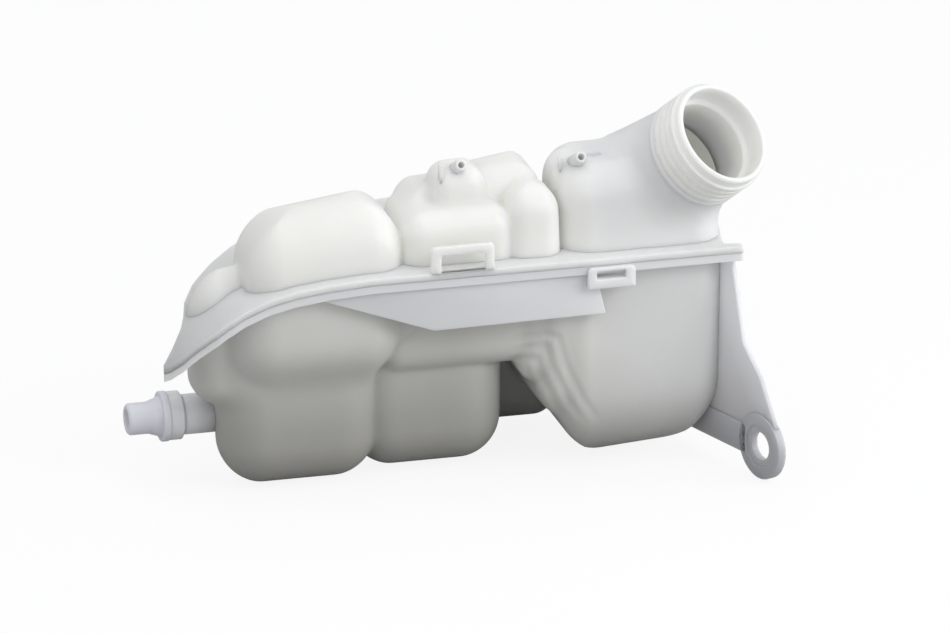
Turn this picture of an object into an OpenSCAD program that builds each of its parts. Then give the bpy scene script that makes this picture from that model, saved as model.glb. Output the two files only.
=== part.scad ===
// Coolant expansion tank: two moulded half shells welded at a flange,
// with a slanted filler neck, a bottom outlet and a mounting ear.
// Millimetres, +Z up, origin on the ground under the middle of the tank, lobe bottoms near z = 0.

/* [Body] */
// length of the body between its end walls
body_len = 259.1; // [250:0.1:270]
// depth of the body between its front and back walls
body_depth = 100; // [94:0.1:108]

/* [Wall and seam] */
// wall thickness of both half shells
wall = 2.6; // [2:0.1:3.4]
// height of the weld plane over the lowest chamber
seam_z = 107.6; // [104:0.2:110]
// thickness of the flange plate of each half shell
flange_t = 3.6; // [2.8:0.1:4.4]
// draft of the chamber walls over their full height
draft = 2.4; // [1:0.1:4]

/* [Filler neck] */
// slant of the neck axis away from vertical
neck_tilt = 51; // [40:1:60]
// turn of the neck axis, from the tank's long direction
neck_turn = -57; // [-75:1:-45]
// distance from the right end wall to the centre of the neck rim
neck_inset = 6; // [3:0.1:9]
// centre of the neck rim across the tank
neck_y = -70; // [-74:0.5:-66]
// height of the centre of the neck rim
neck_z = 166.8; // [164:0.2:168]
// height of the thread crests over their roots
thread_depth = 1.4; // [1:0.1:2]
// distance between the thread crests
thread_pitch = 4; // [3.5:0.1:4.5]
// number of thread crests
thread_turns = 5; // [3:1:6]
// radius of the seat bore that a cap plug seals in
seat_r = 20.8; // [19:0.1:22]
// step from the wide mouth down to the seat bore
seat_step = 2.2; // [1.5:0.1:3]
// wall of the neck at its mouth, under the thread
neck_wall = 2.6; // [2:0.1:3.4]
// depth from the rim to the seat bore
seat_depth = 13; // [10:0.5:16]
// length of the seat bore
seat_len = 20; // [14:0.5:24]

/* [Outlet] */
// position of the outlet axis across the tank
outlet_y = -20; // [-24:0.5:-16]
// height of the outlet axis
outlet_z = 32; // [28:0.5:36]
// length of the outlet stub outside its lobe
stub_len = 12; // [10:0.5:14]
// radius of the hose nozzle
nozzle_r = 7.6; // [7:0.1:8.5]
// bore radius of the hose nozzle
nozzle_bore_r = 4.9; // [4:0.1:5.5]
// length of the straight hose nozzle
nozzle_len = 10; // [8:0.5:12]
// distance from the hose end to the connector's collar
collar_at = 16; // [14:0.5:18]
// radius of the connector's collar
collar_r = 12; // [11:0.1:13]
// thickness of the connector's collar
collar_t = 3.4; // [2.5:0.1:4]
// radius of the connector's plug inside the stub
plug_r = 7; // [6.5:0.1:7.2]
// length of the connector's barrel under the lock ring
barrel_len = 7.6; // [7:0.1:9]
// length of the connector's plug inside the stub
plug_len = 14; // [12:0.5:16]
// distance from the end of the stub to the seal ring
seal_at = 5; // [3:0.5:8]
// radius of the lock ring
lock_ring_r = 11.6; // [11:0.1:12.4]
// length of the lock ring
lock_ring_len = 6.4; // [5:0.1:6.8]
// bore radius of the tank's outlet stub
stub_bore_r = 7.3; // [7:0.1:7.6]
// outside radius of the tank's outlet stub
stub_r = 9.6; // [9.2:0.1:10.4]
// cross-section radius of the seal ring
seal_r = 0.8; // [0.6:0.05:0.9]

/* [Mounting ear] */
// radius of the ear
ear_r = 16; // [15:0.5:17]
// radius of the through hole in the ear
eye_r = 6.8; // [6:0.1:7.5]
// radius of the shallow ring round the hole
eye_step_r = 10.4; // [9.5:0.1:11.5]
// depth of the shallow ring
eye_step = 0.9; // [0.5:0.1:1.4]
// thickness of the ear and its strip
ear_t = 4.4; // [3.8:0.1:5]
// thickness of the gusset plate above the strip
gusset_t = 2.4; // [2:0.1:3]
// turn of the ear's plane from the tank's end face
ear_turn = 20; // [14:1:26]

/* [Small fittings] */
// outside radius of the bleed nipples
nipple_r = 2.7; // [2.4:0.1:3.2]
// length of the bleed nipples in front of their collars
nipple_len = 4; // [3:0.1:5]
// bore radius of the bleed nipples
nipple_bore_r = 1.5; // [1.2:0.1:1.8]
// thickness of the hanging web under the flange
web_t = 2; // [1.6:0.1:2.6]
// thickness of the strap loops
loop_t = 3.2; // [2.6:0.1:4]

/* [Hidden] */
$fn = 40;
corner_n = 3;
edge_n = 3;
nip_fn = 24;
grid = 0.05;
drawn_size = [0, 0, 0];
left_x = -131.7;
right_x = left_x + body_len;
front_y = -68.3;
back_y = front_y + body_depth;
mid_y = -34.4;
neck_x = right_x - neck_inset;
plug_at = collar_at + collar_t + barrel_len;
barrel_r = stub_r - 0.4;
mouth_r = seat_r + seat_step;
root_r = mouth_r + neck_wall;
thread_r = root_r + thread_depth;
neck_bore_r = seat_r + 1.8;
ear_c = [right_x + 8, front_y - 22.7, 16.4];
left_nipple = [-0.8, -47, 153.4];
right_boss = [right_x - 69.2, -44, 151];
right_nipple = right_boss + [-1.9, -7.3, 2.7];
rib_plate = [8.4, 2.6, 19.6];
above = 160;
below = 50;
seam_left = -150;
seam_right = right_x + 32.6;
half_depth = 120;
bore_reach = 60;

// height of the weld plane along the tank: level, then falling away at the left end
seam = [
    [seam_left, seam_z - 52], [-146, seam_z - 45], [-140, seam_z - 36], [-134, seam_z - 28.4],
    [-128, seam_z - 22.4], [-120, seam_z - 16], [-112, seam_z - 11], [-100, seam_z - 6.2],
    [-87, seam_z - 3.2], [-70, seam_z - 1.2], [-50, seam_z], [seam_right, seam_z]
];

// outline of the flange seen from above
plan = [
    [-117, -75], [right_x + 2, -75], [right_x + 3, -74], [right_x + 3, -70.6], [right_x - 5, -68.6],
    [right_x - 3.4, -58], [right_x - 0.8, -46], [right_x + 1.4, -30], [right_x + 1.4, back_y - 7.7],
    [right_x - 1, back_y + 1.3], [right_x - 8.4, back_y + 6.3], [0, back_y + 6.3], [-36, back_y - 0.7],
    [-68, back_y - 11.7], [-92, back_y - 23.7],
    [-110, -4], [-122, -13], [-128, -22], [-130.8, -32], [-134, -40], [-140, -46.6], [-144.5, -48.6],
    [-145, -51], [-143, -57], [-139, -64], [-130, -71], [-124, -74]
];

// rounded chambers: [x0, x1, y0, y1, z_end, plan radius, edge radius, slope]
upper_rooms = [
    [left_x, -86.1, -52.3, -17.3, 111.7, 17, 25, 0.16],
    [-107, -28.9, -67.7, -11.7, 139.5, 14, 23, 0.13],
    [-70, 3.8, -34.1, back_y - 13.9, 116.4, 16, 9, 0.03],
    [-32.8, 25, -65.7, -9.7, 135.2, 10, 11, 0.02],
    [-27.1, 22, -44.6, -6, 141.3, 8, 12, 0.06],
    [0.2, 42.4, -47.7, -7, 148.1, 8, 14, 0.15],
    [17.7, 46.8, -66.6, -34.2, 145.1, 9, 14, 0],
    [right_x - 82.7, right_x - 1.7, -66.9, -4.9, 151.2, 16, 16, 0],
    [-6, right_x - 5.8, -29.8, back_y - 1.8, 117.9, 15, 9, 0],
    [-14.7, 14.7, -51.8, -21.1, 151.7, 8, 9, 0.03],
    [right_x - 83.2, right_x - 63.4, -47.1, -19.2, 150.7, 7, 8, 0.03]
];
lower_rooms = [
    [-131.1, -86, -52.7, -18.1, 43.3, 13, 13, 0],
    [-116.1, -26.7, front_y, -14, 52.8, 22, 24, 0],
    [-117, -36.2, -55, back_y - 39.7, -0.2, 22, 19, 0],
    [-52.2, 25.6, -48.8, back_y - 9.6, 0.9, 20, 19, 0],
    [-42.2, 47.9, -57.3, back_y, 52.7, 10, 14, 0],
    [right_x - 103.4, right_x - 37.7, -59.7, back_y - 4.4, 40.1, 12, 13, 0],
    [right_x - 94.4, right_x - 31.6, -64.1, back_y - 3.9, 23, 14, 17, 0],
    [right_x - 85.2, right_x, -67.1, back_y - 2.4, 2, 16, 38, 0.07],
    [right_x - 115.5, right_x - 61.4, 2, back_y - 0.7, 1.9, 13, 14, 0]
];
stub_end_x = lower_rooms[2][0] - stub_len;
outlet_tip_x = stub_end_x - plug_at;
mid_x = (outlet_tip_x + ear_c[0] + 8.8) / 2;

// points of one rounded chamber, level by level
function side_x(k) = (k == 0 || k == 3) ? 1 : -1;
function side_y(k) = (k < 2) ? 1 : -1;
function corner(k, j) = 90 * k + 90 * j / corner_n;
function snap(v) = round(v / grid) * grid;
function reach(half, full) = min(1, (half - wall - 2.4) / full);
function ring(b, inset, skin, z) =
    let (full = draft + b[6])
    let (hx = (b[1] - b[0]) / 2 - inset * reach((b[1] - b[0]) / 2, full) - skin)
    let (hy = (b[3] - b[2]) / 2 - inset * reach((b[3] - b[2]) / 2, full) - skin)
    let (r = min(max(b[5] - 0.35 * inset - skin, 2), min(hx, hy) - 0.4))
    let (xc = (b[0] + b[1]) / 2, yc = (b[2] + b[3]) / 2)
    [
        for (k = [0:3]) for (j = [0:corner_n])
            let (x = xc + side_x(k) * (hx - r) + r * cos(corner(k, j)))
            [snap(x), snap(yc + side_y(k) * (hy - r) + r * sin(corner(k, j))), snap(z + b[7] * (x - xc))]
    ];

// rounded chamber from its open base to its closed end, drawn in by "skin"
module room(b, base_z, skin) {
    up = b[4] > base_z ? 1 : -1;
    re = b[6] - skin;
    end_z = b[4] - up * skin;
    levels = concat(
        [[0, base_z], [draft, end_z - up * re]],
        [for (i = [1:edge_n]) [draft + b[6] * (1 - cos(90 * i / edge_n)), end_z - up * re * (1 - sin(90 * i / edge_n))]]
    );
    n = 4 * (corner_n + 1);
    count = len(levels);
    pts = [for (l = levels) for (p = ring(b, l[0], skin, l[1])) p];
    sides = [for (l = [0:count - 2]) for (i = [0:n - 1])
        up > 0
            ? [l * n + i, (l + 1) * n + i, (l + 1) * n + (i + 1) % n, l * n + (i + 1) % n]
            : [l * n + (i + 1) % n, (l + 1) * n + (i + 1) % n, (l + 1) * n + i, l * n + i]];
    first = [for (i = [0:n - 1]) up > 0 ? i : n - 1 - i];
    last = [for (i = [0:n - 1]) (count - 1) * n + (up > 0 ? n - 1 - i : i)];
    polyhedron(points = pts, faces = concat([first], sides, [last]), convexity = 4);
}

// all space above or below the weld surface, moved up by "lift"
module above_seam(lift) {
    translate([0, half_depth, 0])
        rotate([90, 0, 0])
            linear_extrude(height = 2 * half_depth)
                polygon(concat([for (p = seam) [p[0], p[1] + lift]], [[seam_right, above + 100], [seam_left, above + 100]]));
}

module below_seam(lift) {
    translate([0, half_depth, 0])
        rotate([90, 0, 0])
            linear_extrude(height = 2 * half_depth)
                polygon(concat([for (p = seam) [p[0], p[1] + lift]], [[seam_right, -60], [seam_left, -60]]));
}

// slab that follows the weld surface between two lifts, inside the plan outline
module seam_slab(low, high, grow) {
    intersection() {
        translate([0, half_depth, 0])
            rotate([90, 0, 0])
                linear_extrude(height = 2 * half_depth)
                    polygon(concat(
                        [for (p = seam) [p[0], p[1] + low]],
                        [for (i = [len(seam) - 1:-1:0]) [seam[i][0], seam[i][1] + high]]
                    ));
        linear_extrude(height = 200)
            plan_outline(grow);
    }
}

module plan_outline(grow) {
    polygon([for (p = plan) [p[0] + grow * p[0] / 140, p[1] + grow * (p[1] + 17) / 58]]);
}

// puts the middle of the tank's outline over the origin
module placed() {
    translate([-mid_x, -mid_y, 0])
        children();
}

module at_neck(s) {
    translate([neck_x, neck_y, neck_z])
        rotate([0, neck_tilt, neck_turn])
            translate([0, 0, s])
                children();
}

module at_ear() {
    translate(ear_c)
        rotate([0, 0, ear_turn])
            rotate([0, -90, 0])
                children();
}

// threaded tube with its stepped bore, as one turned profile
module neck_tube() {
    at_neck(0)
        rotate_extrude()
            polygon(concat(
                [[seat_r, -seat_depth - seat_len], [seat_r, -seat_depth], [mouth_r, -seat_depth - 0.8 + 1.6], [mouth_r, 0]],
                [[root_r - 0.5, 0], [root_r, -0.8]],
                [for (i = [0:thread_turns - 1]) for (p = [[root_r, 1.5], [thread_r, 0.6], [thread_r, -0.6], [root_r, -1.5]])
                    [p[0], p[1] - 4.4 - i * thread_pitch]],
                [[root_r, -seat_depth - seat_len]]
            ));
}

// short hose nipple on a boss, pointing forward and up, with a shoulder and a chamfered tip
module nipple(at, root) {
    translate(at)
        rotate([62, 0, 0])
            rotate_extrude($fn = nip_fn)
                polygon([
                    [0, -root], [nipple_r + 0.7, -root], [nipple_r + 0.7, -0.7], [nipple_r, 0],
                    [nipple_r, nipple_len], [nipple_r - 0.4, nipple_len + 0.5], [0, nipple_len + 0.5]
                ]);
}

module nipple_fin(at) {
    translate(at + [-9.4, 0, -8])
        cube([1.4, 4, 9]);
}

module nipple_hole(at) {
    translate(at)
        rotate([62, 0, 0])
            translate([0, 0, -20])
                cylinder(h = 30, r = nipple_bore_r, $fn = nip_fn);
}

// moulded skin of the upper half, before the neck and the nipples
module upper_skin() {
    resize(drawn_size)
        difference() {
            union() {
                intersection() {
                    union() {
                        for (b = upper_rooms) room(b, below + 10, 0);
                        at_neck(-62)
                            cylinder(h = 36, r1 = root_r + 4.4, r2 = root_r + 0.5);
                    }
                    above_seam(0);
                }
                seam_slab(0, flange_t, 0);
                up_loop();
                translate(right_boss + [3.2, 2, 0.6 - rib_plate[2]])
                    cube(rib_plate);
                nipple_fin(left_nipple);
                nipple_fin(right_boss);
            }
            for (b = upper_rooms) room(b, below, wall);
        }
}

module upper_shell() {
    color([0.93, 0.93, 0.88])
    placed()
    difference() {
        union() {
            difference() {
                upper_skin();
                at_neck(-bore_reach)
                    cylinder(h = bore_reach + 2, r = neck_bore_r);
            }
            neck_tube();
            nipple(left_nipple, 9);
            nipple(right_nipple, 14);
        }
        nipple_hole(left_nipple);
        nipple_hole(right_nipple);
    }
}

module up_loop() {
    translate([-21.4, -75, seam_z + flange_t - 0.6])
        difference() {
            cube([30.2, loop_t, 13.2]);
            translate([4.6, -1, 0.6])
                cube([21.6, loop_t + 2, 8.4]);
        }
}

module down_loop() {
    translate([right_x - 73.4, -77.6, seam_z - 10.3])
        difference() {
            cube([22.8, loop_t + 2, 10.2]);
            translate([4, -1, 4.6])
                cube([14.2, loop_t + 4, 9]);
        }
}

module skirt_web() {
    translate([0, -71.6 + web_t / 2, 0])
        rotate([90, 0, 0])
            linear_extrude(height = web_t)
                polygon([[-76, seam_z - 2], [-76, seam_z - 5], [-19.6, 82], [63.6, 83], [58.4, seam_z - 2]]);
}

// strip that carries the ear, and the thin gusset above it
module ear_arm() {
    translate(ear_c)
        rotate([0, 0, ear_turn]) {
            translate([-ear_t / 2, 0, -6.8])
                cube([ear_t, 66, 14.4]);
            translate([gusset_t / 2, 0, 0])
                rotate([90, 0, -90])
                    linear_extrude(height = gusset_t)
                        polygon([
                            [-66, -4], [-66, 90], [-24, 90], [-23.4, 82], [-15, 47], [-1.5, 34],
                            [13, 12], [12, 4], [0, 0]
                        ]);
        }
}

module ear() {
    at_ear()
        difference() {
            translate([0, 0, -ear_t / 2])
                cylinder(h = ear_t, r = ear_r);
            translate([0, 0, -ear_t])
                cylinder(h = 2 * ear_t, r = eye_r);
            translate([0, 0, ear_t / 2 - eye_step])
                cylinder(h = 2, r = eye_step_r);
        }
}

// moulded skin of the lower half, before the outlet stub and the ear
module lower_skin() {
    resize(drawn_size)
        difference() {
            union() {
                intersection() {
                    union() {
                        for (b = lower_rooms) room(b, above - 10, 0);
                        ear_arm();
                    }
                    below_seam(0);
                }
                seam_slab(-flange_t, 0, -1.2);
                down_loop();
                skirt_web();
            }
            for (b = lower_rooms) room(b, above, wall);
            at_ear()
                translate([0, 0, -ear_t])
                    cylinder(h = 2 * ear_t, r = eye_step_r + 1.6);
        }
}

module lower_shell() {
    color([0.85, 0.86, 0.84])
    placed()
    difference() {
        union() {
            lower_skin();
            ear();
            translate([stub_end_x, outlet_y, outlet_z])
                rotate([0, 90, 0])
                    cylinder(h = stub_len + 11.5, r = stub_r);
        }
        translate([stub_end_x - 1, outlet_y, outlet_z])
            rotate([0, 90, 0])
                cylinder(h = stub_len + 18, r = stub_bore_r);
    }
}

// ring groove of the connector and the ring that sits in it share these sizes
module outlet_connector() {
    color([0.78, 0.80, 0.84])
    placed()
    translate([outlet_tip_x, outlet_y, outlet_z])
        rotate([0, 90, 0])
            difference() {
                rotate_extrude()
                    polygon([
                        [nozzle_bore_r, 0], [nozzle_r - 1.2, 0], [nozzle_r, 1.4], [nozzle_r, nozzle_len],
                        [collar_r - 2.4, collar_at], [collar_r, collar_at], [collar_r, collar_at + collar_t],
                        [barrel_r, collar_at + collar_t], [barrel_r, plug_at],
                        [plug_r, plug_at], [plug_r, plug_at + plug_len], [nozzle_bore_r, plug_at + plug_len]
                    ]);
                translate([0, 0, plug_at + seal_at])
                    rotate_extrude()
                        translate([stub_bore_r - seal_r, 0])
                            circle(r = seal_r, $fn = 8);
            }
}

module outlet_lock_ring() {
    color([0.80, 0.82, 0.85])
    placed()
    translate([outlet_tip_x + collar_at + collar_t, outlet_y, outlet_z])
        rotate([0, 90, 0])
            difference() {
                cylinder(h = lock_ring_len, r = lock_ring_r);
                translate([0, 0, -1])
                    cylinder(h = lock_ring_len + 2, r = barrel_r);
            }
}

module outlet_seal() {
    color([0.12, 0.12, 0.12])
    placed()
    translate([stub_end_x + seal_at, outlet_y, outlet_z])
        rotate([0, 90, 0])
            rotate_extrude()
                translate([stub_bore_r - seal_r, 0])
                    circle(r = seal_r, $fn = 8);
}

upper_shell();
lower_shell();
outlet_connector();
outlet_lock_ring();
outlet_seal();
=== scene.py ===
import bpy
import bmesh
import math
import numpy as np
from mathutils import Matrix, Vector


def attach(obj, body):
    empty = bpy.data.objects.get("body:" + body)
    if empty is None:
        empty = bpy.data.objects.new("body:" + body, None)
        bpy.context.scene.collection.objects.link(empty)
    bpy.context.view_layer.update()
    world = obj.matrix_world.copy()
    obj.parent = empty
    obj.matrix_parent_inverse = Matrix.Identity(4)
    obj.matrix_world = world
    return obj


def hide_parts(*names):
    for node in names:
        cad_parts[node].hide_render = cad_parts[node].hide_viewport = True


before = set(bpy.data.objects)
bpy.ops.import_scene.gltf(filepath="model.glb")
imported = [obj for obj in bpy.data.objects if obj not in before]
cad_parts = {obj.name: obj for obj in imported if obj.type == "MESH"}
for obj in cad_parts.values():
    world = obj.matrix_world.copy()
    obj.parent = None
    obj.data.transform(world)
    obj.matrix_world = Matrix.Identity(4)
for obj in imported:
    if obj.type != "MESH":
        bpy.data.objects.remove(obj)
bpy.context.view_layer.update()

# Every shape is drawn in mm in one drawing frame: x to the right, y to the back, z up from the floor.
# MID is where the part's own origin lies in it.
MM = 1000.0  # mm in a metre
MID = np.array([-5.9, -34.4, 0.0])
WALL = 3.4  # from the smooth outside to the hollow
CELL = 1.3  # step of the grids that the two bodies are drawn on


def to_world(p):
    """from the drawing frame to the part's own, in metres"""
    return (np.asarray(p, float) - MID) / MM


# The weld surface: level at SEAM_Z, and SEAM_D lower at each SEAM_X towards the left tip
SEAM_Z = 107.6
SEAM_X = np.array([-150, -146, -140, -134, -128, -120, -112, -100, -87, -70, -50, 160], float)
SEAM_D = np.array([52, 45, 36, 28.4, 22.4, 16, 11, 6.2, 3.2, 1.2, 0, 0], float)
PLATE = 3.6  # each half of the flange, above or below the weld surface
TRIM = 0.6  # the bodies end this far inside their own half of the flange

# The flange's outline seen from above, its half widths and its middle
PLAN = np.array([
    [-117, -75], [129.4, -75], [130.4, -74], [130.4, -70.6], [122.4, -68.6], [124, -58], [126.6, -46],
    [128.8, -30], [128.8, 24], [126.4, 33], [119, 38], [0, 38], [-36, 31], [-68, 20], [-92, 8],
    [-110, -4], [-122, -13], [-128, -22], [-130.8, -32], [-134, -40], [-140, -46.6], [-144.5, -48.6],
    [-145, -51], [-143, -57], [-139, -64], [-130, -71], [-124, -74]], float)
PLAN_HALF_X, PLAN_HALF_Y, PLAN_MID_Y = 140, 58, -17

# Rounded chambers: x0, x1, y0, y1, z_end, plan radius, edge radius, slope, blend
UPPER = [
    [-131.7, -86.1, -52.3, -17.3, 111.7, 17, 25, 0.16, 2],
    [-107, -28.9, -67.7, -11.7, 139.5, 16, 26, 0.13, 2],
    [-70, 3.8, -34.1, 17.8, 116.4, 16, 9, 0.03, 3],
    [-32.8, 25, -65.7, -9.7, 135.2, 10, 11, 0.02, 2],
    [-27.1, 22, -44.6, -6, 141.3, 8, 12, 0.06, 2.5],
    [0.2, 42.4, -47.7, -7, 148.1, 8, 14, 0.15, 2],
    [17.7, 46.8, -66.6, -34.2, 145.1, 9, 14, 0, 2],
    [44.7, 125.7, -66.9, -4.9, 151.2, 16, 16, 0, 2.5],
    [-6, 121.6, -29.8, 29.9, 117.9, 15, 9, 0, 3],
    [-14.7, 14.7, -51.8, -21.1, 151.7, 8, 9, 0.03, 3],  # boss of the left nipple
    [44.2, 64, -47.1, -19.2, 150.7, 7, 8, 0.03, 3],  # boss of the right nipple
]
LOWER = [
    [-131.1, -86, -52.7, -18.1, 43.3, 13, 13, 0, 2],
    [-116.1, -26.7, -68.3, -14, 52.8, 22, 26, 0, 2.5],
    [-117, -36.2, -55, -8, -0.2, 22, 23, 0, 9],
    [-52.2, 25.6, -48.8, 22.1, 0.9, 20, 22, 0, 2],
    [-42.2, 47.9, -57.3, 31.7, 52.7, 10, 14, 0, 2],
    [24, 89.7, -59.7, 27.3, 40.1, 12, 16, 0, 2],
    [33, 95.8, -64.1, 27.8, 23, 14, 20, 0, 2],
    [42.2, 127.4, -67.1, 29.3, 2, 16, 38, 0.07, 2.5],
    [11.9, 66, 2, 31, 1.9, 13, 14, 0, 3],
]
UPPER_BASE, LOWER_BASE = 60.0, 150.0  # the chambers start past the weld surface and are cut there
DRAFT = 2.4  # each wall leans in by this much over its chamber's height

# The filler neck: the middle of its rim, and its axis out of the tank
NECK = np.array([121.4, -70.0, 166.8])
TILT, TURN = math.radians(51), math.radians(-57)
N_AX = np.array([math.sin(TILT) * math.cos(TURN), math.sin(TILT) * math.sin(TURN), math.cos(TILT)])
FLARE_R, FLARE_GROW, FLARE_BLEND = 26.0, 4.6, 5  # the root that runs from the neck into the roof
FLARE_TOP, FLARE_END = 21.5, 60  # where that root starts and ends under the rim
BORE_R, BORE_END = 22.4, 62  # the way down through the root, and where it ends under the rim

# The open way under the neck: the bodies are hollow right of HOLLOW_X, and the flange has the opening WELL
HOLLOW_X = 62
WELL = (66, 120, -60, -12)  # x0, x1, y0, y1


# Smooth moulded bodies, drawn as distance fields on a grid
CORNERS = [(x, y, z) for x in (0, 1) for y in (0, 1) for z in (0, 1)]


def seam(x):
    """the level of the weld surface"""
    return SEAM_Z - np.interp(x, SEAM_X, SEAM_D)


def smin(a, b, k):
    """the smaller of two fields, blended over k"""
    h = np.clip(0.5 + 0.5 * (b - a) / k, 0, 1)
    return b * (1 - h) + a * h - k * h * (1 - h)


def round_corner(a, b, r):
    """the field of the corner where a and b both end, rounded by r"""
    return np.minimum(np.maximum(a, b), 0) + np.hypot(np.maximum(a, 0), np.maximum(b, 0)) - r


def room_field(x, y, z, room, base):
    """distance to one chamber that stands on or hangs from base"""
    x0, x1, y0, y1, z_end, plan_r, edge_r, slope = room[:8]
    xc, yc = (x0 + x1) / 2, (y0 + y1) / 2
    up = 1.0 if z_end > base else -1.0
    level = z - slope * (x - xc)
    inset = DRAFT * np.clip((level - base) * up / abs(z_end - base), 0, 1.2)
    half_x, half_y = (x1 - x0) / 2 - inset, (y1 - y0) / 2 - inset
    r = np.minimum(plan_r, np.minimum(half_x, half_y) - 0.5)
    side = round_corner(np.abs(x - xc) - (half_x - r), np.abs(y - yc) - (half_y - r), r)
    return round_corner(side + edge_r, (level - z_end) * up + edge_r, edge_r)


def neck_coords(x, y, z):
    """how far along the neck's axis and how far from it"""
    px, py, pz = x - NECK[0], y - NECK[1], z - NECK[2]
    s = px * N_AX[0] + py * N_AX[1] + pz * N_AX[2]
    return s, np.sqrt(np.maximum(px * px + py * py + pz * pz - s * s, 0))


def flare_field(x, y, z):
    """the round root of the neck, wider towards the roof"""
    s, rho = neck_coords(x, y, z)
    rad = FLARE_R + np.clip((-22 - s) / 40, 0, 1.3) * FLARE_GROW  # from 22 mm under the rim, over 40 mm
    return np.maximum((rho - rad) * 0.99, np.maximum(s + FLARE_TOP, -FLARE_END - s))


def spread(ax):
    """the three axes of a grid, ready to be combined"""
    return ax[0][:, None, None], ax[1][None, :, None], ax[2][None, None, :]


def blend(f, ax, lim, field, k):
    """smooth union of another field into f, worked out only inside the box lim"""
    part = tuple(slice(max(0, np.searchsorted(a, low) - 1), np.searchsorted(a, high) + 1)
                 for a, (low, high) in zip(ax, lim))
    x, y, z = spread([a[s] for a, s in zip(ax, part)])
    f[part] = smin(f[part], field(x, y, z).astype(np.float32), k)


def body_field(lo, hi, rooms, base):
    """the grid from lo to hi, and the smooth union of the chambers over it"""
    pad = 12  # past this distance a chamber's field changes nothing
    ax = [np.arange(a, b + CELL, CELL, dtype=np.float32) for a, b in zip(lo, hi)]
    f = np.full([len(a) for a in ax], 40.0, np.float32)
    for room in rooms:
        low, high = sorted((room[4], base))
        lim = [(room[0] - pad, room[1] + pad), (room[2] - pad, room[3] + pad), (low - 2 * pad, high + 2 * pad)]
        blend(f, ax, lim, lambda x, y, z: room_field(x, y, z, room, base), room[8])
    return ax, f


def sample(f, lo, p):
    """the field at any points, from the eight grid values round each"""
    q = (p - lo) / CELL
    i = np.clip(np.floor(q).astype(int), 0, np.array(f.shape) - 2)
    t = q - i
    out = 0
    for dx, dy, dz in CORNERS:
        w = (t[:, 0] if dx else 1 - t[:, 0]) * (t[:, 1] if dy else 1 - t[:, 1]) * (t[:, 2] if dz else 1 - t[:, 2])
        out = out + w * f[i[:, 0] + dx, i[:, 1] + dy, i[:, 2] + dz]
    return out


def crossed_cells(f):
    """surface nets: one point in each cell that the surface crosses, and the number of each such cell"""
    inside = f < 0
    n = np.array(f.shape) - 1
    count = np.zeros(n, np.int8)
    for dx, dy, dz in CORNERS:
        count += inside[dx:dx + n[0], dy:dy + n[1], dz:dz + n[2]]
    mixed = (count > 0) & (count < 8)
    cells = np.argwhere(mixed)
    number = np.full(n, -1, np.int64)
    number[mixed] = np.arange(len(cells))
    corner = np.array(CORNERS)
    vals = [f[cells[:, 0] + c[0], cells[:, 1] + c[1], cells[:, 2] + c[2]].astype(float) for c in corner]
    pos = np.zeros((len(cells), 3))
    crossings = np.zeros(len(cells))
    for a in range(8):
        for b in range(a + 1, 8):
            if np.abs(corner[a] - corner[b]).sum() != 1:
                continue
            cross = (vals[a] < 0) != (vals[b] < 0)
            t = np.where(cross, vals[a] / np.where(cross, vals[a] - vals[b], 1), 0)
            pos += np.where(cross[:, None], corner[a] + t[:, None] * (corner[b] - corner[a]), 0)
            crossings += cross
    return cells + pos / crossings[:, None], number


def crossed_edges(inside, number, axis):
    """one quad for each grid edge along the axis that the surface crosses"""
    n = number.shape
    o1, o2 = [i for i in range(3) if i != axis]
    first, second = [slice(None)] * 3, [slice(None)] * 3
    first[axis], second[axis] = slice(0, -1), slice(1, None)
    start, end = inside[tuple(first)], inside[tuple(second)]
    e = np.argwhere(start != end)
    e = e[(e[:, o1] > 0) & (e[:, o2] > 0) & (e[:, o1] < n[o1]) & (e[:, o2] < n[o2])]
    ids = []
    for d1, d2 in ((1, 1), (0, 1), (0, 0), (1, 0)):
        c = e.copy()
        c[:, o1] -= d1
        c[:, o2] -= d2
        ids.append(number[c[:, 0], c[:, 1], c[:, 2]])
    quads = np.stack(ids, 1)
    leaving = start[e[:, 0], e[:, 1], e[:, 2]]
    back = leaving if axis == 1 else ~leaving
    quads[back] = quads[back][:, ::-1]
    return quads


def surface(f, lo):
    """the mesh where the field is zero, its points then drawn closer to the true surface"""
    at, number = crossed_cells(f)
    verts = lo + CELL * at
    quads = np.vstack([crossed_edges(f < 0, number, axis) for axis in range(3)])
    quads = quads[(quads >= 0).all(1)]
    e = 0.4 * CELL
    for _ in range(2):
        v = sample(f, lo, verts)
        g = np.stack([(sample(f, lo, verts + d * e) - sample(f, lo, verts - d * e)) / (2 * e)
                      for d in np.eye(3)], 1)
        step = np.clip(v / np.maximum((g ** 2).sum(1), 0.15), -0.5 * CELL, 0.5 * CELL)
        verts = verts - 0.8 * step[:, None] * g
    return verts, quads


# Small builders
def link(name, data):
    """a new object in the scene"""
    ob = bpy.data.objects.new(name, data)
    bpy.context.scene.collection.objects.link(ob)
    return ob


def put(name, verts, faces, mat, bevel=0.0):
    """a small piece, its outside turned outwards and its edges rounded by the bevel"""
    me = bpy.data.meshes.new(name)
    me.from_pydata(to_world(verts).tolist(), [], [list(map(int, q)) for q in faces])
    me.update()
    ob = link(name, me)
    bm = bmesh.new()
    bm.from_mesh(me)
    bmesh.ops.recalc_face_normals(bm, faces=bm.faces)
    bm.to_mesh(me)
    bm.free()
    me.materials.append(mat)
    for p in me.polygons:
        p.use_smooth = True
    if bevel:
        m = ob.modifiers.new("bevel", "BEVEL")
        m.width = bevel / MM
        m.segments = 2
        m.limit_method = "ANGLE"
        m.angle_limit = math.radians(40)
    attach(ob, "root")
    return ob


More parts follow.
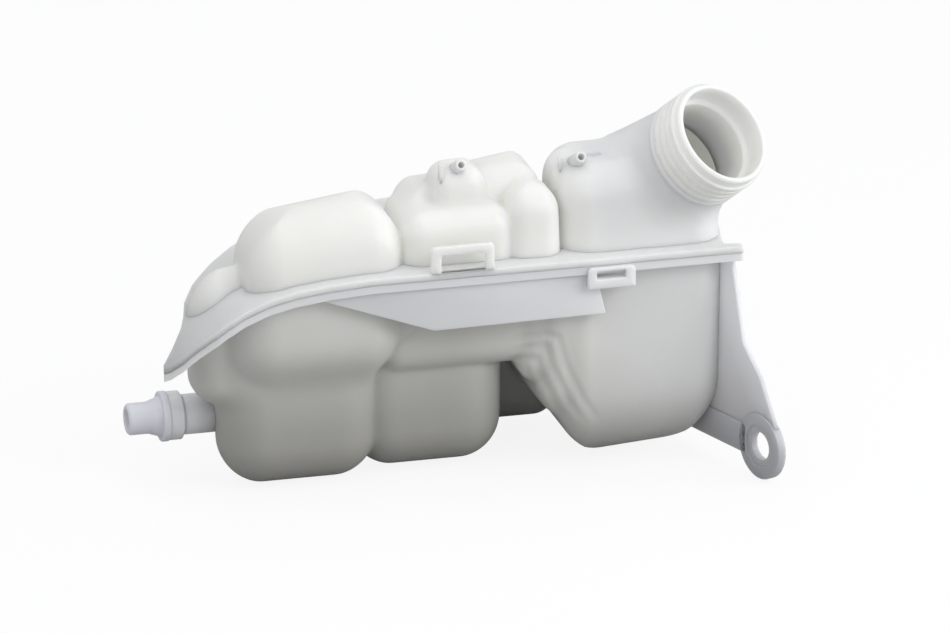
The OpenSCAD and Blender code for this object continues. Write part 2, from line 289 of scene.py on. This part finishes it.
def put_big(name, verts, quads, mat):
    """a smooth piece of many quads"""
    me = bpy.data.meshes.new(name)
    me.vertices.add(len(verts))
    me.vertices.foreach_set("co", to_world(verts).astype(np.float32).ravel())
    me.loops.add(4 * len(quads))
    me.loops.foreach_set("vertex_index", quads.astype(np.int32).ravel())
    me.polygons.add(len(quads))
    me.polygons.foreach_set("loop_start", np.arange(0, 4 * len(quads), 4, dtype=np.int32))
    me.update(calc_edges=True)
    me.validate()
    me.polygons.foreach_set("use_smooth", np.ones(len(me.polygons), bool))
    me.materials.append(mat)
    ob = link(name, me)
    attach(ob, "root")
    return ob


def block(lo, hi):
    """a box between two corners"""
    x0, y0, z0 = lo
    x1, y1, z1 = hi
    v = [(x, y, z) for x in (x0, x1) for y in (y0, y1) for z in (z0, z1)]
    f = [(0, 1, 3, 2), (4, 6, 7, 5), (0, 4, 5, 1), (2, 3, 7, 6), (0, 2, 6, 4), (1, 5, 7, 3)]
    return v, f


def sheet(outline, x0, x1):
    """a flat piece between x0 and x1 with this outline [(y, z)]"""
    n = len(outline)
    v = [(x, y, z) for x in (x0, x1) for y, z in outline]
    f = [list(range(n)), list(range(2 * n - 1, n - 1, -1))]
    return v, f + [[i, (i + 1) % n, n + (i + 1) % n, n + i] for i in range(n)]


def ring_faces(rows, n):
    """the quads of closed rows of n points, the last row joined to the first"""
    return [(i * n + j, i * n + (j + 1) % n, (i + 1) % rows * n + (j + 1) % n, (i + 1) % rows * n + j)
            for i in range(rows) for j in range(n)]


def lathe(profile, n):
    """a closed profile [(radius, height)] turned round +Z"""
    p = np.asarray(profile, float)
    a = np.linspace(0, 2 * math.pi, n, endpoint=False)
    v = np.stack([np.outer(p[:, 0], np.cos(a)), np.outer(p[:, 0], np.sin(a)), np.repeat(p[:, 1:2], n, 1)], 2)
    return v.reshape(-1, 3), ring_faces(len(p), n)


def rounded(points, radii, seg=3):
    """a closed profile with its corners rounded"""
    pts = [np.array(p, float) for p in points]
    out = []
    none = 1e-3  # a corner with a smaller radius stays sharp
    for i, (p, r) in enumerate(zip(pts, radii)):
        da, db = pts[i - 1] - p, pts[(i + 1) % len(pts)] - p
        la, lb = np.linalg.norm(da), np.linalg.norm(db)
        r = min(r, 0.45 * la, 0.45 * lb)
        if r < none:
            out.append(tuple(p))
            continue
        s, e = p + da / la * r, p + db / lb * r
        for t in np.linspace(0, 1, seg + 1):
            out.append(tuple((1 - t) ** 2 * s + 2 * t * (1 - t) * p + t ** 2 * e))
    return out


def turned(v, origin, axis):
    """points drawn round +Z, moved so that +Z is the axis and the origin is its foot"""
    a = np.array(axis, float)
    a /= np.linalg.norm(a)
    u = np.cross((0, 0, 1), a)
    u /= np.linalg.norm(u)
    w = np.cross(a, u)
    return np.array(origin) + v[:, :1] * u + v[:, 1:2] * w + v[:, 2:3] * a


# Materials. The painted shade lists are stops (share of the top height, colour) that darken the plastic towards the
# part's foot: painted shade for light that falls from above.
BODY_PAINTED_SHADE = [(0.0, (0.44, 0.435, 0.415)), (0.16, (0.52, 0.518, 0.505)), (0.34, (0.72, 0.72, 0.705)),
              (0.56, (0.97, 0.97, 0.96)), (0.8, (1.0, 1.0, 1.0))]
THIN_PAINTED_SHADE = [(0.0, (0.40, 0.40, 0.42)), (0.38, (0.50, 0.50, 0.53)), (0.52, (0.66, 0.66, 0.69)),
              (0.75, (0.84, 0.85, 0.88)), (1.0, (1, 1, 1))]
FAINT_PAINTED_SHADE = [(0.0, (0.95, 0.95, 0.95)), (1.0, (1.0, 1.0, 1.0))]
# painted shade runs up to this height
PAINTED_SHADE_TOP = 0.19  # m
PAINTED_LIGHT_SIDE_X, PAINTED_LIGHT_LIFT = 0.10, 0.058  # m: painted light: at x equal to the first value, the right side is painted as light as if it stood the second value higher


def new_material(name):
    m = bpy.data.materials.new(name)
    m.use_nodes = True
    return m, m.node_tree


def node(tree, kind, **values):
    """a shader node with these inputs set"""
    new = tree.nodes.new("ShaderNode" + kind)
    for key, value in values.items():
        new.inputs[key.replace("_", " ")].default_value = value
    return new


def color_ramp(tree, stops):
    """a colour ramp through the stops [(position, colour)]"""
    ramp = node(tree, "ValToRGB")
    els = ramp.color_ramp.elements
    for el, (pos, col) in zip((els[0], els[1]), (stops[0], stops[-1])):
        el.position, el.color = pos, (*col, 1)
    for pos, col in stops[1:-1]:
        els.new(pos).color = (*col, 1)
    return ramp


def plastic(name, base, deep, sss, rough=0.36, bump=0.05, painted_shade_stops=BODY_PAINTED_SHADE):
    """natural polypropylene: milky, soft inside, faint uneven tone, painted shade at the foot, painted light on the
    right, tiny surface waves, fine grain
    """
    m, nt = new_material(name)
    join = nt.links.new
    shader = nt.nodes["Principled BSDF"]
    place = node(nt, "TexCoord").outputs["Object"]
    noises = [node(nt, "TexNoise", Scale=scale, Detail=detail) for scale, detail in ((16, 3), (60, 2), (900, 2))]
    for noise in noises:
        join(place, noise.inputs["Vector"])
    cloud, waves, grain = [noise.outputs["Fac"] for noise in noises]

    # colour: clouds between the deep and the base colour, times painted shade that darkens towards the foot and
    # painted light that lightens the right side
    milk = color_ramp(nt, [(0.3, deep), (0.75, base)])
    join(cloud, milk.inputs["Fac"])
    split = node(nt, "SeparateXYZ")
    join(place, split.inputs["Vector"])
    # painted light: the right side reads as if it stood higher, so it is painted lighter
    side = node(nt, "MapRange", From_Min=0.0, From_Max=PAINTED_LIGHT_SIDE_X, To_Max=PAINTED_LIGHT_LIFT)
    join(split.outputs["X"], side.inputs["Value"])
    lifted = node(nt, "Math")
    join(split.outputs["Z"], lifted.inputs[0])
    join(side.outputs["Result"], lifted.inputs[1])
    # painted shade: the colour darkens towards the foot
    height = node(nt, "MapRange", From_Min=0.0, From_Max=PAINTED_SHADE_TOP)
    join(lifted.outputs["Value"], height.inputs["Value"])
    painted_shade_ramp = color_ramp(nt, painted_shade_stops)
    join(height.outputs["Result"], painted_shade_ramp.inputs["Fac"])
    both = nt.nodes.new("ShaderNodeMix")
    both.data_type = "RGBA"
    both.blend_type = "MULTIPLY"
    both.inputs["Factor"].default_value = 1.0
    join(milk.outputs["Color"], both.inputs["A"])
    join(painted_shade_ramp.outputs["Color"], both.inputs["B"])
    join(both.outputs["Result"], shader.inputs["Base Color"])
    shader.inputs["Specular IOR Level"].default_value = 0.4
    shader.inputs["Subsurface Weight"].default_value = sss
    shader.inputs["Subsurface Radius"].default_value = (1.0, 0.95, 0.8)
    shader.inputs["Subsurface Scale"].default_value = 0.012

    # surface: slow waves, a fine grain on them, and a gloss that follows the waves
    wavy = node(nt, "Bump", Strength=bump, Distance=0.002)
    join(waves, wavy.inputs["Height"])
    fine = node(nt, "Bump", Strength=0.04, Distance=0.0002)
    join(grain, fine.inputs["Height"])
    join(wavy.outputs["Normal"], fine.inputs["Normal"])
    join(fine.outputs["Normal"], shader.inputs["Normal"])
    gloss = node(nt, "MapRange", To_Min=rough - 0.06, To_Max=rough + 0.08)
    join(waves, gloss.inputs["Value"])
    join(gloss.outputs["Result"], shader.inputs["Roughness"])
    return m


M_UP = plastic("upper_pp", (0.865, 0.865, 0.845), (0.83, 0.83, 0.795), 0.7)
M_LOW = plastic("lower_pp", (0.84, 0.838, 0.815), (0.80, 0.796, 0.76), 0.6)
M_THIN = plastic("thin_pp", (0.84, 0.85, 0.87), (0.80, 0.81, 0.83), 0.5, painted_shade_stops=THIN_PAINTED_SHADE)
M_WEB = plastic("web_pp", (0.895, 0.895, 0.895), (0.865, 0.865, 0.865), 0.5, painted_shade_stops=FAINT_PAINTED_SHADE)
M_CON = plastic("connector_pp", (0.78, 0.79, 0.84), (0.74, 0.75, 0.81), 0.3, rough=0.28, bump=0.02, painted_shade_stops=FAINT_PAINTED_SHADE)
M_RING = plastic("lock_ring_pp", (0.90, 0.90, 0.90), (0.86, 0.86, 0.86), 0.4, rough=0.3, bump=0.02, painted_shade_stops=FAINT_PAINTED_SHADE)
M_SEAL, seal_tree = new_material("seal_rubber")
seal_tree.nodes["Principled BSDF"].inputs["Base Color"].default_value = (0.02, 0.02, 0.02, 1)
seal_tree.nodes["Principled BSDF"].inputs["Roughness"].default_value = 0.6

# Upper body: the chambers and the neck's root, hollow under the neck, with the neck's bore
lo = np.array([-140, -108, 60.0])
ax, f = body_field(lo, (150, 45, 176), UPPER, UPPER_BASE)
blend(f, ax, [(60, 150), (-108, 10), (100, 176)], flare_field, FLARE_BLEND)
X, Y, Z = spread(ax)
s, rho = neck_coords(X, Y, Z)
cavity = np.maximum(f + WALL, HOLLOW_X - X)
bore = np.maximum(rho - BORE_R, -BORE_END - s)
f = np.maximum(f, -np.minimum(cavity, bore))
f = np.maximum(f, (seam(ax[0])[:, None, None] + TRIM - Z).astype(np.float32))
v, q = surface(f.astype(np.float32), lo)
upper = put_big("upper_body", v, q, M_UP)
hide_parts("upper_shell")


# Lower body: the lobes, with nested arches on the front, hollow under the neck
def arch_field(ax, points, pitch, first, last, depth):
    """how deep nested grooves cut in, over x and z: they run along a polyline, from first to last beside it"""
    gx, gz = np.meshgrid(ax[0], ax[2], indexing="ij")
    best = np.full(gx.shape, 1e6)
    sign = np.ones(gx.shape)
    for (xa, za), (xb, zb) in zip(points[:-1], points[1:]):
        ex, ez = xb - xa, zb - za
        t = np.clip(((gx - xa) * ex + (gz - za) * ez) / (ex * ex + ez * ez), 0, 1)
        d = np.hypot(gx - xa - t * ex, gz - za - t * ez)
        near = d < best
        best = np.where(near, d, best)
        sign = np.where(near, np.sign((gx - xa) * ez - (gz - za) * ex), sign)
    d = best * sign
    fade = np.clip((d - first) / 2.5, 0, 1) * np.clip((last - d) / 2.5, 0, 1)
    (x_start, _), (x_end, z_end) = points[0], points[-1]
    if x_start > x_end:
        start = np.clip((x_start + 4 - gx) / 6, 0, 1)
    else:
        start = np.clip((gx - x_start) / 8, 0, 1)
    end = np.clip((gz - z_end) / 10, 0, 1)
    return depth * (0.5 - 0.5 * np.cos(2 * math.pi * d / pitch)) * fade * start * end


lo = np.array([-140, -76, -4.0])
ax, f = body_field(lo, (134, 40, 110), LOWER, LOWER_BASE)
X, Y, Z = spread(ax)
front = np.clip((-38 - Y) / 8, 0, 1)
arches = arch_field(ax, [(22, 71), (38, 73.5), (46, 71.5), (50.2, 56), (57.6, 39.5), (67.4, 24)],
                    pitch=6.0, first=-2.5, last=21.5, depth=1.1)
arches += arch_field(ax, [(-24, 84), (-27, 78), (-33.6, 71.9), (-41, 66)],
                     pitch=5.0, first=-12.5, last=1.5, depth=0.8)
f = f + (arches[:, None, :] * front).astype(np.float32)
f = np.maximum(f, -np.maximum(f + WALL, HOLLOW_X - X))
f = np.maximum(f, (Z - seam(ax[0])[:, None, None] + TRIM).astype(np.float32))
v, q = surface(f.astype(np.float32), lo)
lower = put_big("lower_body", v, q, M_LOW)
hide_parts("lower_shell")


# Flange plates that follow the weld surface, open to the chamber under the neck
def plate(name, low, high, grow, mat, bevel):
    """a plate between two heights over the weld surface, its outline grown by grow mm"""
    bm = bmesh.new()
    bm.faces.new([bm.verts.new((x + grow * x / PLAN_HALF_X, y + grow * (y - PLAN_MID_Y) / PLAN_HALF_Y, 0))
                  for x, y in PLAN])
    x0, x1, y0, y1 = WELL
    # cut closely where the weld surface bends, coarsely where it is level, and along the opening's sides
    cuts = [((x, 0, 0), (1, 0, 0)) for x in (*np.arange(-144, -50, 3.0), *np.arange(-50, 130, 12.0), x0, x1)]
    for co, no in cuts + [((0, y, 0), (0, 1, 0)) for y in (y0, y1)]:
        bmesh.ops.bisect_plane(bm, geom=bm.verts[:] + bm.edges[:] + bm.faces[:], plane_co=co, plane_no=no)
    mids = [(g, g.calc_center_median()) for g in bm.faces]
    bmesh.ops.delete(bm, geom=[g for g, c in mids if x0 < c.x < x1 and y0 < c.y < y1], context="FACES")
    r = bmesh.ops.extrude_face_region(bm, geom=bm.faces[:])
    top = {e for e in r["geom"] if isinstance(e, bmesh.types.BMVert)}
    for w in bm.verts:
        w.co.z = float(seam(w.co.x)) + (high if w in top else low)
    bmesh.ops.recalc_face_normals(bm, faces=bm.faces)
    bm.verts.index_update()
    vs = [tuple(w.co) for w in bm.verts]
    fs = [[w.index for w in g.verts] for g in bm.faces]
    bm.free()
    ob = put(name, vs, fs, mat, bevel=bevel)
    ob.modifiers.new("weighted", "WEIGHTED_NORMAL")
    return ob


p_up = plate("flange_upper", 0.25, PLATE, 0.0, M_UP, 0.3)
p_lo = plate("flange_lower", -PLATE, 0.2, -0.15, M_WEB, 0.25)

# Filler neck: rows (radius, height over the rim), up the helical thread outside, then over the lip, down to
# the seat and through the bore
CREST, ROOT, PITCH = 27.0, 25.6, 4.0
THREAD_HALF, THREAD_FLANK = 0.36, 0.17  # half the ridge's foot and the width of a flank, in pitches
THREAD_START, THREAD_TURNS = 1.9, 4.95  # its start under the rim, and how many turns it runs
FADE = 0.25  # turns over which the thread's ends run out
n_ang = 200
ang = np.linspace(0, 2 * math.pi, n_ang, endpoint=False)
rows = []
for s in np.arange(-33.0, -1.2, 0.25):
    turns = (-s - THREAD_START) / PITCH - ang / (2 * math.pi)
    ridge = np.clip((THREAD_HALF - np.abs((turns % 1.0) - 0.5)) / THREAD_FLANK, 0, 1)
    ridge = ridge * ridge * (3 - 2 * ridge)
    fade = np.clip((turns + 0.05) / FADE, 0, 1) * np.clip((THREAD_TURNS - turns) / FADE, 0, 1)
    rows.append((ROOT + (CREST - ROOT) * ridge * fade, s))
rows += [(25.45, -1.0), (25.0, -0.35), (24.5, -0.05), (24.0, 0.0), (23.5, -0.1), (23.15, -0.5), (23.0, -1.2),
         (23.0, -6.0), (22.95, -11.4), (22.6, -12.0), (21.4, -12.7), (20.95, -13.1), (20.8, -13.8), (20.8, -20.0),
         (20.8, -30.0), (20.85, -33.0), (22.0, -34.0), (22.4, -36), (25.2, -36), (25.5, -35), (25.6, -33.6)]
vs = np.vstack([np.stack([r * np.cos(ang), r * np.sin(ang), np.full(n_ang, s)], 1) for r, s in rows])
neck = put_big("filler_neck", turned(vs, NECK, N_AX), np.array(ring_faces(len(rows), n_ang)), M_UP)


# The two nipples with their fins, and the rib plate beside the right boss
def nipple(side, foot, root, fin):
    """a bleed nipple that leans forward from its foot, with a root of this length behind it, and its fin"""
    lean = math.radians(62)
    prof = rounded([(1.5, -root), (1.5, 4.3), (2.4, 4.3), (2.7, 3.9), (2.7, 0), (3.3, -0.7), (3.3, -root)],
                   [0, 0.3, 0.2, 0.2, 0.3, 0.3, 0])
    v, fcs = lathe(prof, 40)
    ob = put(f"nipple_{side}", turned(v, foot, (0, -math.sin(lean), math.cos(lean))), fcs, M_WEB)
    x, y, z = fin
    v, fcs = block((x - 9.4, y, z - 8), (x - 8.0, y + 4, z + 1))
    ob = put(f"nipple_fin_{side}", v, fcs, M_UP, bevel=0.3)


nipple("left", (-0.8, -47, 153.4), 9, fin=(-0.8, -47, 153.4))
nipple("right", (56.3, -51.3, 153.7), 14, fin=(58.2, -44, 151))
v, fcs = block((61.4, -42, 132), (69.8, -39.4, 151.6))
ob = put("rib_plate", v, fcs, M_UP, bevel=0.5)


# Strap loops on and under the flange
def frame_loop(name, box, window, y0, y1, mat):
    """a frame round a window, both given as x0, x1, z0, z1, with small lower and wide upper corners"""
    outer, inner = [rounded([(x0, z0), (x1, z0), (x1, z1), (x0, z1)], radii, seg=4)
                    for (x0, x1, z0, z1), radii in ((box, [0.6, 0.6, 2.4, 2.4]), (window, [0.4, 0.4, 1.3, 1.3]))]
    k = len(outer)
    v = [(x, y, z) for y in (y0, y1) for side in (outer, inner) for x, z in side]
    fcs = []
    for a in range(k):
        b = (a + 1) % k
        fcs += [(a, b, k + b, k + a), (2 * k + a, 3 * k + a, 3 * k + b, 2 * k + b),
                (a, 2 * k + a, 2 * k + b, b), (k + a, k + b, 3 * k + b, 3 * k + a)]
    return put(name, v, fcs, mat, bevel=0.45)


z0 = SEAM_Z + PLATE - 0.6  # its foot is sunk into the flange
ob = frame_loop("strap_loop_upper", (-21.4, 8.8, z0, z0 + 13.2), (-16.8, 4.8, z0 + 0.6, z0 + 9.0), -75, -71.8, M_UP)
z0 = SEAM_Z - 10.3  # its top is just under the weld surface
ob = frame_loop("strap_loop_lower", (54, 76.8, z0, z0 + 10.2), (58, 72.2, z0 + 4.6, z0 + 8.6), -77.6, -72.4, M_WEB)

# Skirt web, as a sheet in the plane of the front
v, fcs = sheet([(-76, SEAM_Z - 2), (-76, SEAM_Z - 5), (-19.6, 82), (63.6, 83), (58.4, SEAM_Z - 2)], -72.6, -70.6)
v = [(x, y, z) for y, x, z in v]
ob = put("skirt_web", v, fcs, M_WEB, bevel=0.4)

# Ear, strip and gusset, drawn round the middle of the eye: across their thickness, along the strip, and up
EYE = np.array([135.4, -91, 16.4])
EAR_TURN = math.radians(20)
EAR_X = np.array([math.cos(EAR_TURN), math.sin(EAR_TURN), 0])
EAR_Y = np.array([-math.sin(EAR_TURN), math.cos(EAR_TURN), 0])
EAR_HALF = 2.2  # half the thickness of the disc and the strip


def ear_pts(p):
    """points of the ear, moved to where it is"""
    p = np.asarray(p, float)
    return EYE + p[:, :1] * EAR_X + p[:, 1:2] * EAR_Y + p[:, 2:3] * np.array([0, 0, 1.0])


def across(v, along, y=0.0, z=0.0):
    """points drawn round +Z, laid along +X from this place"""
    return np.stack([along + v[:, 2], y + v[:, 0], z + v[:, 1]], 1)


prof = rounded([(6.8, EAR_HALF), (6.8, -1.3), (10.4, -1.3), (10.4, -EAR_HALF), (16, -EAR_HALF), (16, EAR_HALF)],
               [0.3, 0.25, 0.2, 0.25, 0.5, 0.5])
v, fcs = lathe(prof, 72)
ob = put("ear_disc", ear_pts(across(v, 0.0)), fcs, M_THIN)
v, fcs = block((-EAR_HALF, 10.5, -6.8), (EAR_HALF, 64, 7.6))
ob = put("ear_strip", ear_pts(v), fcs, M_THIN, bevel=0.5)
v, fcs = sheet([(60, -4), (60, 90), (24, 90), (23.4, 82), (15, 47), (1.5, 34), (-11.5, 12), (-10, 6), (4, 6.9),
                (13, 7)], -1.2, 1.2)
ob = put("ear_gusset", ear_pts(v), fcs, M_THIN, bevel=0.4)

# Outlet stub, hose connector and lock ring, turned round the outlet's axis
OUT_Y, OUT_Z, OUT_N = -20, 32, 96


def outlet_ring(points, radii, x0):
    """a rounded profile [(radius, length from x0)] round the outlet's axis"""
    v, fcs = lathe(rounded(points, radii), OUT_N)
    return across(v, x0, OUT_Y, OUT_Z), fcs


v, fcs = outlet_ring([(7.3, 0), (9.6, 0), (9.6, 17.5), (7.3, 17.5)], [0.3, 0.5, 0, 0], -129)
ob = put("outlet_stub", v, fcs, M_RING)
v, fcs = outlet_ring([(4.9, 0), (6.6, 0), (7.6, 1.2), (7.6, 10), (9.4, 15.2), (9.6, 16), (12, 16), (12, 19.4),
                      (9.2, 19.4), (9.2, 27), (7, 27), (7, 41), (4.9, 41)],
                     [0.3, 0.5, 0.4, 0.8, 0.5, 0.3, 0.6, 0.5, 0.2, 0.2, 0.2, 0.4, 0.3], -156)
con = put("hose_connector", v, fcs, M_CON)
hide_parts("outlet_connector")
v, fcs = outlet_ring([(9.25, 0), (11.6, 0), (11.6, 6.4), (9.25, 6.4)], [0.2, 0.6, 0.6, 0.2], -136.6)
ring = put("lock_ring", v, fcs, M_RING)
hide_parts("outlet_lock_ring")
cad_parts["outlet_seal"].data.materials.clear()
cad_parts["outlet_seal"].data.materials.append(M_SEAL)


# Stage, light and camera
def by_camera(tree, others, camera, target):
    """one shader for the camera's own rays and another for all others"""
    path = node(tree, "LightPath")
    pick = node(tree, "MixShader")
    tree.links.new(path.outputs["Is Camera Ray"], pick.inputs["Fac"])
    tree.links.new(others, pick.inputs[1])
    tree.links.new(camera, pick.inputs[2])
    tree.links.new(pick.outputs["Shader"], target.inputs["Surface"])


def stage_material(name, keep, bounce):
    """white to the camera, with a share of shadow, and a plain grey for the light it throws back"""
    m, nt = new_material(name)
    nt.nodes.remove(nt.nodes["Principled BSDF"])
    glow = node(nt, "Emission", Color=(1, 1, 1, 1), Strength=1.0)
    shade = node(nt, "BsdfDiffuse", Color=(0.9, 0.9, 0.9, 1))
    mix = node(nt, "MixShader", Fac=keep)
    nt.links.new(glow.outputs["Emission"], mix.inputs[1])
    nt.links.new(shade.outputs["BSDF"], mix.inputs[2])
    grey = node(nt, "BsdfDiffuse", Color=(bounce, bounce, bounce, 1))
    by_camera(nt, grey.outputs["BSDF"], mix.outputs["Shader"], nt.nodes["Material Output"])
    return m


FLOOR, FLOOR_Z = 6, -0.0006  # m, its half width and its level, just under the part
me = bpy.data.meshes.new("studio_floor")
me.from_pydata([(-FLOOR, -FLOOR, FLOOR_Z), (FLOOR, -FLOOR, FLOOR_Z), (FLOOR, FLOOR, FLOOR_Z),
                (-FLOOR, FLOOR, FLOOR_Z)], [], [(0, 1, 2, 3)])
me.materials.append(stage_material("studio_floor", keep=0.12, bounce=0.45))
floor = link("studio_floor", me)


def area(name, loc, target, size, power):
    """a soft light that faces its target"""
    li = bpy.data.lights.new(name, "AREA")
    li.shape = "RECTANGLE"
    li.size, li.size_y = size
    li.energy = power
    ob = link(name, li)
    ob.location = loc
    ob.rotation_euler = (Vector(target) - Vector(loc)).to_track_quat("-Z", "Y").to_euler()


area("top_box", (-0.10, -0.05, 1.25), (0, 0, 0.08), (1.5, 1.3), 3.8)
area("front_left", (-1.1, -1.2, 0.9), (0, 0, 0.1), (1.1, 1.1), 2.5)
area("front_right", (0.9, -1.1, 1.0), (0.1, -0.04, 0.15), (0.7, 0.7), 6.5)
area("low_right", (1.4, -0.35, 0.3), (0.08, 0, 0.08), (0.8, 0.7), 8)

world = bpy.data.worlds.new("studio")
bpy.context.scene.world = world
world.use_nodes = True
nt = world.node_tree
soft = nt.nodes["Background"]
soft.inputs["Color"].default_value = (0.97, 0.98, 1.0, 1)
soft.inputs["Strength"].default_value = 0.66
white = node(nt, "Background", Color=(1, 1, 1, 1), Strength=1.0)
by_camera(nt, soft.outputs["Background"], white.outputs["Background"], nt.nodes["World Output"])

# The photo's view: its right, its up and the way towards the viewer, and what lies in the picture's middle
R_AX = np.array([0.9659, -0.2588, 0.0])
U_AX = np.array([0.0885, 0.3304, 0.9397])
T_AX = np.array([-0.2432, -0.9077, 0.3420])
CAM_DIST, VIEW_WIDTH, SENSOR = 6.0, 0.4524, 36  # m, m at the part, mm
eye = to_world(18.76 * R_AX + 58.1 * U_AX) + T_AX * CAM_DIST
cam_d = bpy.data.cameras.new("camera")
cam_d.sensor_width = SENSOR
cam_d.lens = SENSOR * CAM_DIST / VIEW_WIDTH
cam_d.clip_end = 50
cam = link("camera", cam_d)
cam.matrix_world = Matrix([*np.column_stack([R_AX, U_AX, T_AX, eye]).tolist(), [0, 0, 0, 1]])
bpy.context.scene.camera = cam
bpy.context.scene.view_settings.view_transform = "Standard"
